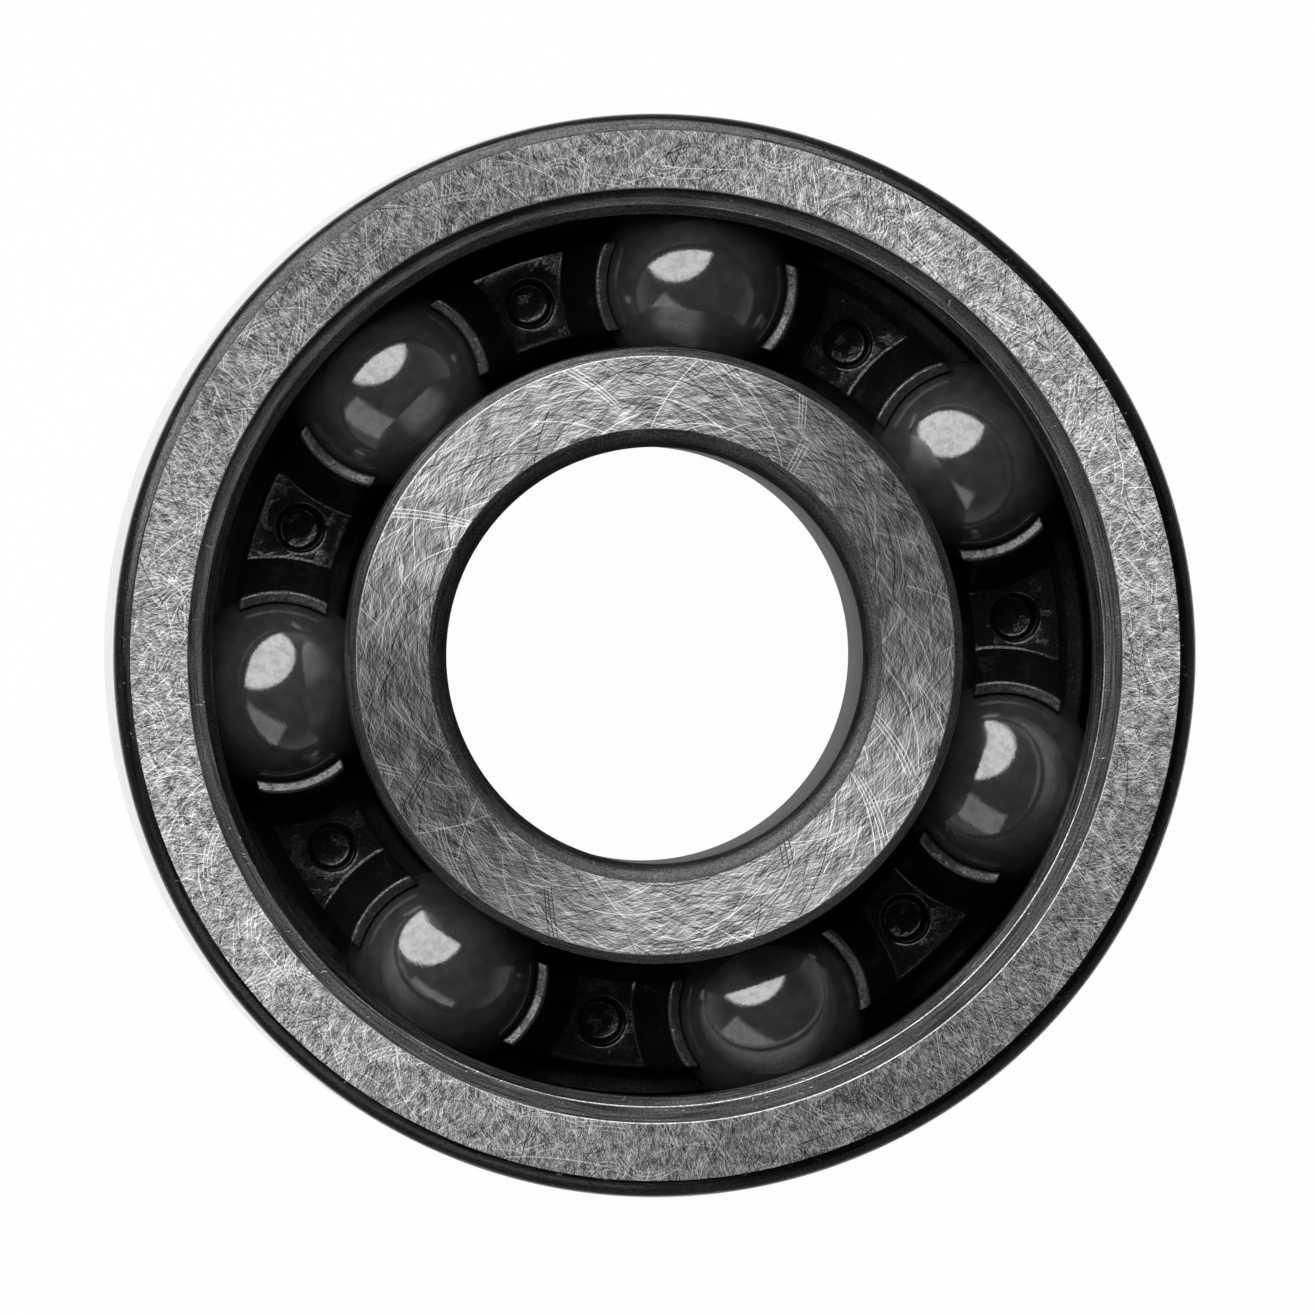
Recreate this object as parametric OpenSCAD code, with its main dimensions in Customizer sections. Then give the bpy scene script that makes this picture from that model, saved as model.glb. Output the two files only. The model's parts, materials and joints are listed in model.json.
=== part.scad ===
// Deep groove ball bearing: open at the front (+Z), sealed at the rear (-Z).
// The origin is the centre of the bearing, and +Z is its axis.

/* [Boundary sizes] */
// Diameter of the bore that the shaft fits in
bore_d = 10; // [9.8:0.05:10.2]
// Diameter over the outer ring, which the housing holds
outer_d = 26; // [25.8:0.05:26.2]
// Width of both rings
ring_width = 8; // [7.8:0.1:8.4]
// Radius of the outer ring's outer corners
outer_corner = 0.4; // [0.2:0.05:0.5]
// Radius of the bore's corners
bore_corner = 0.45; // [0.2:0.05:0.5]

/* [Balls] */
// Diameter of one ball
ball_d = 4.762; // [4.7:0.01:4.8]
// Diameter of the circle through the ball centres
pitch_d = 18; // [17.95:0.01:18.05]
// Direction of the first ball's centre, in degrees from +X
first_ball_angle = -20; // [-180:1:180]
// Gap between a ball and the bottom of each raceway
ball_play = 0.02; // [0.01:0.005:0.03]
// Radius of the raceway groove, as a share of the ball diameter
groove_share = 0.52; // [0.51:0.005:0.54]

/* [Ring shoulders] */
// Diameter of the inner ring's shoulders
inner_shoulder_d = 14.8; // [14.6:0.05:14.9]
// Chamfer on the inner ring's shoulders
shoulder_chamfer = 0.22; // [0.1:0.02:0.3]
// Diameter of the outer ring's lands, on both sides of the raceway
outer_land_d = 21.2; // [21.1:0.05:21.4]
// Diameter of the mouth of each seal groove
groove_mouth_d = 22.4; // [22.2:0.05:22.6]
// Diameter of the undercut at the bottom of each seal groove
groove_root_d = 22.9; // [22.8:0.05:23]
// Depth of the seal ledge below the ring's side face
ledge_depth = 1.05; // [1:0.05:1.1]
// Depth of the lip that holds a seal in its groove
lip_depth = 0.45; // [0.35:0.05:0.5]
// Chamfer between the seal ledge and the land
ledge_chamfer = 0.24; // [0.1:0.02:0.3]

/* [Cage] */
// Inner diameter of the cage
cage_inner_d = 15.68; // [15.6:0.02:15.8]
// Outer diameter of the cage
cage_outer_d = 19.94; // [19.8:0.02:20.1]
// Gap between a ball and its pocket
pocket_play = 0.07; // [0.05:0.01:0.1]
// Height of the horn tips above the ball centres
horn_height = 1.3; // [1.1:0.05:1.4]
// Height of the valleys between the horns, below the ball centres
valley_drop = 0.3; // [0.1:0.05:0.5]
// Depth of the cage's back face below the ball centres
cage_depth = 2.95; // [2.85:0.05:3]
// Width of the flat tip of a horn
horn_tip = 0.34; // [0.25:0.01:0.4]
// Width that a horn gains from its tip to its foot
horn_flare = 0.78; // [0.6:0.02:0.9]
// Diameter of the blind hole between two pockets
dimple_d = 1.1; // [0.8:0.05:1.2]
// Depth of that hole
dimple_depth = 1.2; // [0.8:0.1:1.6]

/* [Rear seal] */
// Depth of the seal's outer face below the ring's rear face
seal_recess = 0.28; // [0.25:0.01:0.3]
// Gap between the seal lip and the inner ring's shoulder
lip_play = 0.03; // [0.02:0.01:0.05]
// Thickness of the steel plate inside the seal
plate_thick = 0.2; // [0.15:0.01:0.22]

/* [Hidden] */
ball_count = 7;
ball_names = [for (k = [1:ball_count]) str("ball_", k)];
$fn = 160;

eps = 0.05; // how far a cutter runs past what it cuts

half_width = ring_width / 2;
ball_r = ball_d / 2;
pitch_r = pitch_d / 2;
ball_step = 360 / ball_count;
groove_r = groove_share * ball_d;
outer_groove_x = pitch_r + ball_r + ball_play - groove_r; // centres of the raceway arcs
inner_groove_x = pitch_r - ball_r - ball_play + groove_r;

land_r = outer_land_d / 2;
mouth_r = groove_mouth_d / 2;
root_r = groove_root_d / 2;
ledge_z = half_width - ledge_depth;
shoulder_r = inner_shoulder_d / 2;

pocket_r = ball_r + pocket_play;
tip_inner_r = sqrt(pocket_r * pocket_r - horn_height * horn_height); // half of a pocket's mouth
tip_outer_r = tip_inner_r + horn_tip;
foot_r = tip_outer_r + horn_flare;
dimple_pitch_r = (cage_inner_d + cage_outer_d) / 4;
dimple_rim = 0.1; // chamfer round the blind hole

seal_out_z = half_width - seal_recess;
seal_in_z = ledge_z + 0.2; // the web stands back from the cage
lip_r = shoulder_r + lip_play;
lip_end_r = shoulder_r + 0.75; // where the lip meets the web
lip_thick = 0.24;
step_in_r = cage_outer_d / 2 + 0.02;
step_out_r = step_in_r + 0.3;
bead_top_r = mouth_r - 0.12;
plate_in_r = lip_end_r + 0.1;
plate_out_r = mouth_r - 0.3;
plate_out_z = seal_out_z - 0.2;
plate_hook = 0.22; // width of the plate's turned-in rim

steel = "#9a9a9c";
ceramic = "#3a3a3c";
cage_black = "#121214";
seal_black = "#1b1b1c";

// What lies outside a rounded corner at the origin, with the body towards +X and +Y.
module round_off(r) {
    difference() {
        translate([-eps, -eps]) square(r + eps);
        translate([r, r]) circle(r = r);
    }
}

// Half of a ring's width, mirrored about the ball plane.
module both_sides() {
    children();
    mirror([0, 1]) children();
}

// Cutter for one seal groove: the mouth, the undercut behind its lip, the ledge and its chamfer.
module seal_groove() {
    polygon([
        [land_r - eps, half_width + eps],
        [mouth_r, half_width + eps],
        [mouth_r, half_width - lip_depth + 0.12],
        [root_r, half_width - lip_depth],
        [root_r, ledge_z],
        [land_r + ledge_chamfer, ledge_z],
        [land_r, ledge_z - ledge_chamfer],
        [land_r - eps, ledge_z - ledge_chamfer]
    ]);
}

module outer_ring() {
    color(steel) rotate_extrude() difference() {
        translate([land_r, -half_width]) square([outer_d / 2 - land_r, ring_width]);
        translate([outer_groove_x, 0]) circle(r = groove_r);
        both_sides() {
            translate([outer_d / 2, half_width]) rotate(180) round_off(outer_corner);
            seal_groove();
        }
    }
}

module inner_ring() {
    color(steel) rotate_extrude() difference() {
        translate([bore_d / 2, -half_width]) square([shoulder_r - bore_d / 2, ring_width]);
        translate([inner_groove_x, 0]) circle(r = groove_r);
        both_sides() {
            translate([bore_d / 2, half_width]) rotate(-90) round_off(bore_corner);
            polygon([
                [shoulder_r - shoulder_chamfer, half_width],
                [shoulder_r - shoulder_chamfer, half_width + eps],
                [shoulder_r + eps, half_width + eps],
                [shoulder_r + eps, half_width - shoulder_chamfer],
                [shoulder_r, half_width - shoulder_chamfer]
            ]);
        }
    }
}

// Turns its children to ball number k, or half a step further for k + 0.5.
module at_ball(k) {
    rotate(first_ball_angle + (k - 1) * ball_step) translate([pitch_r, 0, 0]) children();
}

module ball(k) {
    color(ceramic) at_ball(k) sphere(r = ball_r);
}

// Plain ring between the cage's inner and outer diameters.
module cage_tube() {
    rotate_extrude() translate([cage_inner_d / 2, -cage_depth])
        square([(cage_outer_d - cage_inner_d) / 2, cage_depth + horn_height]);
}

// Body of the horns: a cone round each pocket, on a slab that ends at the valleys.
module horn_cones() {
    translate([0, 0, -cage_depth - eps]) cylinder(r = pitch_r + ball_r, h = cage_depth - valley_drop + eps);
    for (k = [1:ball_count])
        at_ball(k) translate([0, 0, -valley_drop])
            cylinder(r1 = foot_r, r2 = tip_outer_r, h = horn_height + valley_drop);
}

// Blind hole with a chamfered rim, sunk from the origin.
module dimple() {
    translate([0, 0, -dimple_depth]) cylinder(d = dimple_d, h = dimple_depth + eps);
    translate([0, 0, -dimple_rim]) cylinder(d1 = dimple_d, d2 = dimple_d + 2 * dimple_rim, h = dimple_rim);
}

// Snap cage: ball pockets that close past the ball centres between pairs of horns.
module cage() {
    color(cage_black) difference() {
        intersection() {
            cage_tube();
            horn_cones();
        }
        for (k = [1:ball_count]) {
            at_ball(k) sphere(r = pocket_r);
            rotate(first_ball_angle + (k - 0.5) * ball_step)
                translate([dimple_pitch_r, 0, -valley_drop]) dimple();
        }
    }
}

// Section of the steel plate: a flat washer with its outer rim turned towards the balls.
module plate_section() {
    polygon([
        [plate_in_r, -plate_out_z],
        [plate_out_r, -plate_out_z],
        [plate_out_r, -plate_out_z + plate_thick + plate_hook],
        [plate_out_r - plate_thick, -plate_out_z + plate_thick + plate_hook],
        [plate_out_r - plate_thick, -plate_out_z + plate_thick],
        [plate_in_r, -plate_out_z + plate_thick]
    ]);
}

// Section of the rubber: bead in the ring's groove, web over the cage, lip at the inner ring.
module rubber_section() {
    polygon([
        [lip_r, -seal_in_z - lip_thick],
        [lip_r, -seal_in_z],
        [step_in_r, -seal_in_z],
        [step_out_r, -ledge_z],
        [root_r, -ledge_z],
        [root_r, -half_width + lip_depth],
        [bead_top_r, -seal_out_z],
        [lip_end_r, -seal_out_z]
    ]);
}

module rear_seal() {
    color(seal_black) rotate_extrude() difference() {
        rubber_section();
        plate_section();
    }
}

module rear_seal_plate() {
    color(steel) rotate_extrude() plate_section();
}

outer_ring();
inner_ring();
cage();
rear_seal();
rear_seal_plate();
for (k = [1:ball_count])
    ball(k);
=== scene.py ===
import json
import math

import bmesh
import bpy
import numpy as np
from mathutils import Matrix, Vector
from mathutils.geometry import delaunay_2d_cdt


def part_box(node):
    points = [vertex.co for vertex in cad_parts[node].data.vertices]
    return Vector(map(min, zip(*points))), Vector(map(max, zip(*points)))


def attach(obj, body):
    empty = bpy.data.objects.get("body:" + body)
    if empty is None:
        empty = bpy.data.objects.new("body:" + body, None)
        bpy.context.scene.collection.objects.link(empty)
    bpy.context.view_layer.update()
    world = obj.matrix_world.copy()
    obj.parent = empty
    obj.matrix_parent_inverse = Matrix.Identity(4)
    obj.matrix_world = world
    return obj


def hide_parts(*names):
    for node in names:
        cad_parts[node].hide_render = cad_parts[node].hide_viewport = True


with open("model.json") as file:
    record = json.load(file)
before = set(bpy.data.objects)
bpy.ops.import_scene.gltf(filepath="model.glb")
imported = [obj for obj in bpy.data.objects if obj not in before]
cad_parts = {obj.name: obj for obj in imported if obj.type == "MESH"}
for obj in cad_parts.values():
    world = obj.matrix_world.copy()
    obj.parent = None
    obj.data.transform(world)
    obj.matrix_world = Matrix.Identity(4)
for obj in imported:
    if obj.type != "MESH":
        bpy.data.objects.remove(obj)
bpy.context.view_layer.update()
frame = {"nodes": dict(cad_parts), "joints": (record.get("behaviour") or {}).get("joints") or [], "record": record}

# Everything below is worked out in millimetres and turned into metres where a mesh is made.
mm = 0.001
mounts = {m["name"]: m for m in frame["record"]["mounts"]}
outerR = mounts["housing_seat"]["dims"]["r_mm"]
boreR = mounts["shaft_bore"]["dims"]["r_mm"]
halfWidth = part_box("outer_ring")[1].z / mm
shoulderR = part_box("inner_ring")[1].x / mm
ballCentres = {
    joint["child"]: np.array(joint["pos_m"]) / mm
    for joint in frame["joints"]
    if joint["child"].startswith("ball_")
}
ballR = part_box("ball_1")[1].z / mm
pitchR = float(np.linalg.norm(ballCentres["ball_1"]))
halfStep = math.pi / len(ballCentres)  # half the angle from one ball to the next

# Camera, floor and lights. The camera stands far off, so that the view is nearly flat.
cameraLook = {
    "distance": 900,  # from the front face
    "lean": (-0.0449, 0.0068),  # how far the camera stands to the left and up, as a share of its height
    "aim": (0.048, -0.046),  # point of the front face in the middle of the frame
    "frameWidth": 31.53,  # what the frame spans at the front face
    "sensor": 36,
    "clip": (0.05, 10),  # nearest and farthest distance that it sees, in metres
}


def turnedTo(x, y, z):
    # the turn that takes the three axes to x, y and z
    return Matrix(np.array([x, y, z]).T.tolist()).to_quaternion()


def makeCamera(look):
    # A lens of sensor * distance / frameWidth makes the frame span frameWidth at the front face.
    camera = bpy.data.objects.new("camera", bpy.data.cameras.new("camera"))
    bpy.context.scene.collection.objects.link(camera)
    camera.data.sensor_width = look["sensor"]
    camera.data.lens = look["sensor"] * look["distance"] / look["frameWidth"]
    camera.data.clip_start, camera.data.clip_end = look["clip"]
    towards = np.array([*look["lean"], 1.0])
    towards /= np.linalg.norm(towards)
    target = np.array([*look["aim"], halfWidth])
    camera.location = (target + towards * look["distance"]) * mm
    across = np.cross([0, 1, 0], towards)
    across /= np.linalg.norm(across)
    camera.rotation_mode = "QUATERNION"
    camera.rotation_quaternion = turnedTo(across, np.cross(towards, across), towards)
    bpy.context.scene.camera = camera


makeCamera(cameraLook)
print("camera set")

# Each lamp stands in a direction (from +X, and down from straight above), and faces the bearing.
lampLooks = {
    "keyLamp": {
        "around": 117,
        "down": 46,
        "distance": 300,
        "size": (440, 440),
        "shape": "DISK",
        "power": 2.3,
    },
    "lowLamp": {
        "around": 238,
        "down": 47,
        "distance": 320,
        "size": (330, 180),
        "shape": "RECTANGLE",
        "power": 0.19,
    },
}


def makeLamp(name, look):
    # It stands at distance * (cos around * sin down, sin around * sin down, cos down).
    light = bpy.data.lights.new(name, "AREA")
    light.shape = look["shape"]
    light.size = look["size"][0] * mm
    light.size_y = look["size"][1] * mm
    light.energy = look["power"]
    lamp = bpy.data.objects.new(name, light)
    bpy.context.scene.collection.objects.link(lamp)
    around, down = math.radians(look["around"]), math.radians(look["down"])
    away = np.array([math.cos(around) * math.sin(down), math.sin(around) * math.sin(down), math.cos(down)])
    lamp.location = away * look["distance"] * mm
    side = np.cross([0, 0, 1], away)
    side /= np.linalg.norm(side)
    lamp.rotation_mode = "QUATERNION"
    lamp.rotation_quaternion = turnedTo(side, np.cross(away, side), away)
    lamp.visible_camera = False


for lampName, lampLook in lampLooks.items():
    makeLamp(lampName, lampLook)

stageLook = {
    "floorSize": 3000,
    "floorGap": 0.01,  # how far it lies below the bearing
    "floorGlow": 0.985,
    "floorPaint": 0.01,
    "floorRough": 0.9,
    "wallGlow": 0.98,
    "roomTop": 0.04,  # brightness of the room above, as the bearing sees it
    "roomSide": 0.33,  # and of the room around it and the floor
    "nearFloorPaintedLight": 1.4,  # and of the floor right beside it, a painted pool of light
    "boreFloorPaintedShadow": 0.02,  # and of the floor inside its bore, a painted shadow
    "nearReach": (1.3, 1.9),  # where the near floor's light starts to fade and ends, in outer radii
    "sideReach": (0.25, 0.7),  # height of a direction where the side's light starts to fade and ends
}


def addNode(tree, kind, sockets=None, **settings):
    # a node with its settings; each socket gets a link or a fixed value
    made = tree.nodes.new(kind)
    for key, value in settings.items():
        setattr(made, key, value)
    for socket, value in (sockets or {}).items():
        if isinstance(value, bpy.types.NodeSocket):
            tree.links.new(value, made.inputs[socket])
        else:
            made.inputs[socket].default_value = value
    return made


def calc(tree, operation, *values):
    # one step of arithmetic
    return addNode(tree, "ShaderNodeMath", dict(enumerate(values)), operation=operation).outputs[0]


def vectorCalc(tree, operation, *values):
    # one step of arithmetic on vectors
    made = addNode(tree, "ShaderNodeVectorMath", dict(enumerate(values)), operation=operation)
    return made.outputs["Value" if operation in ("LENGTH", "DOT_PRODUCT") else "Vector"]


def ramped(tree, value, low, high, toLow=0.0, toHigh=1.0, smooth=True):
    # toLow below low, toHigh above high, and between them a smooth step
    made = addNode(tree, "ShaderNodeMapRange", {0: value, 1: low, 2: high, 3: toLow, 4: toHigh})
    made.interpolation_type = "SMOOTHSTEP" if smooth else "LINEAR"
    return made.outputs[0]


def weightedSum(tree, parts):
    # the sum of value * weight over all pairs
    total = None
    for value, weight in parts:
        part = calc(tree, "MULTIPLY", value, weight)
        total = part if total is None else calc(tree, "ADD", total, part)
    return total


def makeFloor(look):
    # A square that is clear from below and glows evenly to the camera. To everything else its glow goes with
    # the distance from the axis: a painted shadow in the bore, a painted pool of light at the outer ring, and
    # fading to roomSide.
    side = look["floorSize"] / 2 * mm
    z = -(halfWidth + look["floorGap"]) * mm
    corners = [(-side, -side, z), (side, -side, z), (side, side, z), (-side, side, z)]
    mesh = bpy.data.meshes.new("floor")
    mesh.from_pydata(corners, [], [(0, 1, 2, 3)])
    floor = bpy.data.objects.new("floor", mesh)
    bpy.context.scene.collection.objects.link(floor)
    paint = bpy.data.materials.new("paleFloor")
    paint.use_nodes = True
    tree = paint.node_tree
    shader = tree.nodes["Principled BSDF"]
    shader.inputs["Base Color"].default_value = (look["floorPaint"],) * 3 + (1,)
    shader.inputs["Roughness"].default_value = look["floorRough"]
    shader.inputs["Specular IOR Level"].default_value = 0.0
    shader.inputs["Emission Color"].default_value = (1, 1, 1, 1)
    shader.inputs["Emission Strength"].default_value = look["floorGlow"]
    below = addNode(tree, "ShaderNodeNewGeometry").outputs["Backfacing"]
    clear = addNode(tree, "ShaderNodeBsdfTransparent").outputs[0]
    seenThrough = addNode(tree, "ShaderNodeMixShader", {0: below, 1: shader.outputs[0], 2: clear})
    tree.links.new(seenThrough.outputs[0], tree.nodes["Material Output"].inputs["Surface"])
    away = vectorCalc(tree, "LENGTH", addNode(tree, "ShaderNodeTexCoord").outputs["Object"])
    fadeFrom, fadeTo = [share * outerR * mm for share in look["nearReach"]]
    # a painted pool of light beside the outer ring, and a painted shadow in the bore
    beside = calc(tree, "GREATER_THAN", away, outerR * mm)
    beside = calc(tree, "MULTIPLY", beside, ramped(tree, away, fadeFrom, fadeTo, 1.0, 0.0))
    boreShadowMask = calc(tree, "LESS_THAN", away, boreR * mm)
    paintedNearLight, paintedBoreShadow = look["nearFloorPaintedLight"] - look["roomSide"], look["boreFloorPaintedShadow"] - look["roomSide"]
    glow = weightedSum(tree, [(beside, paintedNearLight), (boreShadowMask, paintedBoreShadow)])
    glow = calc(tree, "ADD", glow, look["roomSide"])
    byCamera = addNode(tree, "ShaderNodeLightPath").outputs["Is Camera Ray"]
    byRest = calc(tree, "SUBTRACT", 1.0, byCamera)
    glow = weightedSum(tree, [(byCamera, look["floorGlow"]), (byRest, glow)])
    tree.links.new(glow, shader.inputs["Emission Strength"])
    mesh.materials.append(paint)
    floor.visible_diffuse = False


def makeRoom(look):
    # Even and bright to the camera. To everything else it fades with the height z of a direction, from
    # roomSide to roomTop.
    world = bpy.data.worlds.new("studio")
    bpy.context.scene.world = world
    world.use_nodes = True
    tree = world.node_tree
    seen = addNode(tree, "ShaderNodeLightPath").outputs["Is Camera Ray"]
    direction = addNode(tree, "ShaderNodeTexCoord").outputs["Generated"]
    height = addNode(tree, "ShaderNodeSeparateXYZ", {0: direction}).outputs["Z"]
    room = ramped(tree, height, *look["sideReach"], look["roomSide"], look["roomTop"])
    wall = calc(tree, "MULTIPLY", seen, look["wallGlow"])
    unseen = calc(tree, "MULTIPLY", calc(tree, "SUBTRACT", 1.0, seen), room)
    tree.links.new(calc(tree, "ADD", wall, unseen), tree.nodes["Background"].inputs["Color"])


makeFloor(stageLook)
makeRoom(stageLook)
bpy.context.scene.view_settings.view_transform = "Standard"
bpy.context.scene.render.film_transparent = False
print("floor and lights set")


def makePiece(name, points, faces, finishes, finishNumbers=None):
    # points in millimetres; faces as rows of corner numbers; one material number for each face
    mesh = bpy.data.meshes.new(name)
    mesh.from_pydata(np.asarray(points) * mm, [], faces)
    mesh.polygons.foreach_set("use_smooth", np.ones(len(mesh.polygons), bool))
    for finish in finishes:
        mesh.materials.append(finish)
    if finishNumbers is not None:
        mesh.polygons.foreach_set("material_index", np.asarray(finishNumbers, np.int32))
    mesh.update()
    piece = bpy.data.objects.new(name, mesh)
    bpy.context.scene.collection.objects.link(piece)
    return piece


def gridFaces(rows, columns, skip=None):
    # Faces of a grid whose point (i, j) is number i * columns + j, without those that are skipped.
    i, j = np.meshgrid(np.arange(rows - 1), np.arange(columns - 1), indexing="ij")
    first, second = i * columns + j, (i + 1) * columns + j
    quad = np.stack([first, second, second + 1, first + 1], axis=-1)
    keep = np.ones((rows - 1, columns - 1), bool) if skip is None else ~skip
    return quad[keep]


def roundCorners(corners, radii, steps):
    # A corner P whose edges leave along unit vectors a and b, at the angle w, becomes an arc of radius R:
    # its centre is P + (a + b) / |a + b| * R / sin(w / 2), and it runs from P + a R / tan(w / 2) to b's side.
    before = np.roll(corners, 1, axis=-2) - corners
    after = np.roll(corners, -1, axis=-2) - corners
    before /= np.maximum(np.linalg.norm(before, axis=-1, keepdims=True), 1e-9)
    after /= np.maximum(np.linalg.norm(after, axis=-1, keepdims=True), 1e-9)
    half = 0.5 * np.arccos(np.clip(np.sum(before * after, axis=-1, keepdims=True), -1, 1))
    half = np.maximum(half, 1e-4)
    middle = before + after
    middle /= np.maximum(np.linalg.norm(middle, axis=-1, keepdims=True), 1e-9)
    reach = np.asarray(radii)[..., None]
    centre = corners + middle * reach / np.sin(half)
    start = corners + before * reach / np.tan(half) - centre
    end = corners + after * reach / np.tan(half) - centre
    swing = np.maximum(math.pi - 2 * half, 1e-6)[..., None, :]
    share = np.linspace(0, 1, steps + 1)[:, None]
    fan = np.sin((1 - share) * swing) * start[..., None, :] + np.sin(share * swing) * end[..., None, :]
    return centre[..., None, :] + fan / np.sin(swing)


def sectionLoop(corners, steps=5, support=0.03, supportShare=0.15, shortest=0.12):
    # corners: rows of (r, z, rounding, finish of the round, finish of the edge after it), anticlockwise.
    # An edge longer than shortest gets two more points, support or supportShare of it from its ends.
    points = np.array([c[:2] for c in corners], float)
    radii = np.array([c[2] for c in corners], float)
    arcs = roundCorners(points, radii, steps)
    keep = np.ones(arcs.shape[:2], bool)
    keep[radii == 0, 1:] = False
    finish = np.repeat(np.array([c[3] for c in corners])[:, None], steps + 1, axis=1)
    finish[:, -1] = [c[4] for c in corners]
    finish[radii == 0, 0] = finish[radii == 0, -1]
    last = np.zeros(arcs.shape[:2], bool)
    last[:, -1] = True
    last[radii == 0, 0] = True
    line, finish, last = arcs[keep], finish[keep], last[keep]
    gap = np.roll(line, -1, axis=0) - line
    length = np.linalg.norm(gap, axis=1)
    long = np.flatnonzero(last & (length > shortest))
    inset = np.minimum(support, supportShare * length[long]) / length[long]
    order = np.concatenate([np.arange(len(line)), long + inset, long + 1 - inset])
    extra = [line[long] + gap[long] * inset[:, None], line[long] + gap[long] * (1 - inset[:, None])]
    places = np.argsort(order)
    everything = np.concatenate([line, *extra])[places]
    finishes = np.concatenate([finish, finish[long], finish[long]])[places]
    return everything, finishes


def turnPiece(name, loops, materials, steps=384):
    # A section point (r, z) goes round the axis as (r cos t, r sin t, z).
    allPoints, allFaces, allFinishes, start = [], [], [], 0
    turn = np.arange(steps) * 2 * math.pi / steps
    names = list(materials)
    for line, finishes in loops:
        r, z = line[:, 0], line[:, 1]
        grid = [np.outer(np.cos(turn), r), np.outer(np.sin(turn), r), np.tile(z, (steps, 1))]
        t, j = np.meshgrid(np.arange(steps), np.arange(len(line)), indexing="ij")
        tNext, jNext = (t + 1) % steps, (j + 1) % len(line)
        around = ((t, j), (tNext, j), (tNext, jNext), (t, jNext))
        corner = [a * len(line) + b + start for a, b in around]
        allPoints.append(np.stack(grid, axis=-1).reshape(-1, 3))
        allFaces.append(np.stack(corner, axis=-1).reshape(-1, 4))
        numbers = np.array([names.index(f) for f in finishes])
        allFinishes.append(np.tile(numbers, steps))
        start += steps * len(line)
    points, faces = np.concatenate(allPoints), np.concatenate(allFaces)
    return makePiece(name, points, faces, list(materials.values()), np.concatenate(allFinishes))


def mirrored(front, closing):
    # The same corners on the other side of the ball plane, in reverse; closing is the last edge's finish.
    after = [closing] + [c[4] for c in front[:-1]]
    return [(c[0], -c[1], c[2], c[3], edge) for c, edge in zip(front, after)][::-1]


# The raceways of both rings.
trackLook = {
    "share": 0.52,  # radius of the groove, as a share of the ball's diameter
    "play": 0.02,  # gap between a ball and the bottom of the groove
    "points": 34,  # points of its section
}
trackR = trackLook["share"] * 2 * ballR


def trackArc(centreR, fromTurn, toTurn):
    # Points of the raceway between its two edges: r = centre + R cos t, z = R sin t
    turns = np.linspace(fromTurn, toTurn, trackLook["points"] + 2)[1:-1]
    return [(centreR + trackR * math.cos(t), trackR * math.sin(t), 0, "track", "track") for t in turns]


# Finishes. All patterns are in millimetres on the piece's own coordinates. In the looks below, a Cloud holds
# a noise's size and detail, and its roughness; a Step holds where on a pattern a change starts and ends, and
# the two values that it changes between, or the change goes from 0 to 1.
evenStep = (0.3, 0.7)  # where nearly all of a cloud pattern lies


def newMaterial(name, colour, roughness, metallic):
    # a material with plain values, which patterns are then linked over
    material = bpy.data.materials.new(name)
    material.use_nodes = True
    material.diffuse_color = (*colour, 1)
    shader = material.node_tree.nodes["Principled BSDF"]
    shader.inputs["Base Color"].default_value = (*colour, 1)
    shader.inputs["Roughness"].default_value = roughness
    shader.inputs["Metallic"].default_value = metallic
    return material, material.node_tree, shader


def millimetres(tree, flat=False):
    # the piece's own coordinates in millimetres; flat ones have z = 0
    place = addNode(tree, "ShaderNodeTexCoord").outputs["Object"]
    return vectorCalc(tree, "MULTIPLY", place, (1000, 1000, 0 if flat else 1000))


def clouds(tree, place, size, detail=2.0, rough=0.5):
    # noise whose largest spots are about size wide
    sockets = {"Vector": place, "Scale": 1 / size, "Detail": detail, "Roughness": rough}
    return addNode(tree, "ShaderNodeTexNoise", sockets).outputs


def spun(tree, place, degrees, size=(1, 1, 1), shift=(0, 0, 0)):
    # the coordinates in a frame that is moved, turned and stretched by size
    sockets = {"Vector": place, "Location": shift, "Rotation": (0, 0, math.radians(degrees)), "Scale": size}
    return addNode(tree, "ShaderNodeMapping", sockets, vector_type="TEXTURE").outputs[0]


def paintWith(tree, shader, colour, tone):
    # base colour = colour * tone
    shade = vectorCalc(tree, "SCALE", colour)
    tree.links.new(tone, shade.node.inputs["Scale"])
    tree.links.new(shade, shader.inputs["Base Color"])


def bumpWith(tree, shader, height, strength, distance):
    # shades the surface as if it rose by height * distance, in metres
    bump = addNode(tree, "ShaderNodeBump", {"Height": height, "Strength": strength, "Distance": distance})
    tree.links.new(bump.outputs[0], shader.inputs["Normal"])


def hairLines(tree, place, degrees, length, width, seed, step):
    # streaks of noise, stretched to length by width at one angle; each seed moves to another part of it
    stretched = spun(tree, place, degrees, (length, width, 1), (seed * 7.3, seed * 3.1, 0))
    sockets = {"Vector": stretched, "Scale": 1.0, "Detail": 1.0}
    noise = addNode(tree, "ShaderNodeTexNoise", sockets, noise_dimensions="2D")
    return ramped(tree, noise.outputs[0], *step)


# Values of all single scratches.
scratchLook = {
    "core": 0.3,  # share of its width where a scratch is at full strength
    "edge": 1.1,  # where a family of arcs stops, in widths past its reach
    "shortest": 0.3,  # share of half the length that every scratch has; chance adds up to 1 to it
    "fadeFrom": 0.6,  # share of its length where it starts to fade
}


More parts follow.
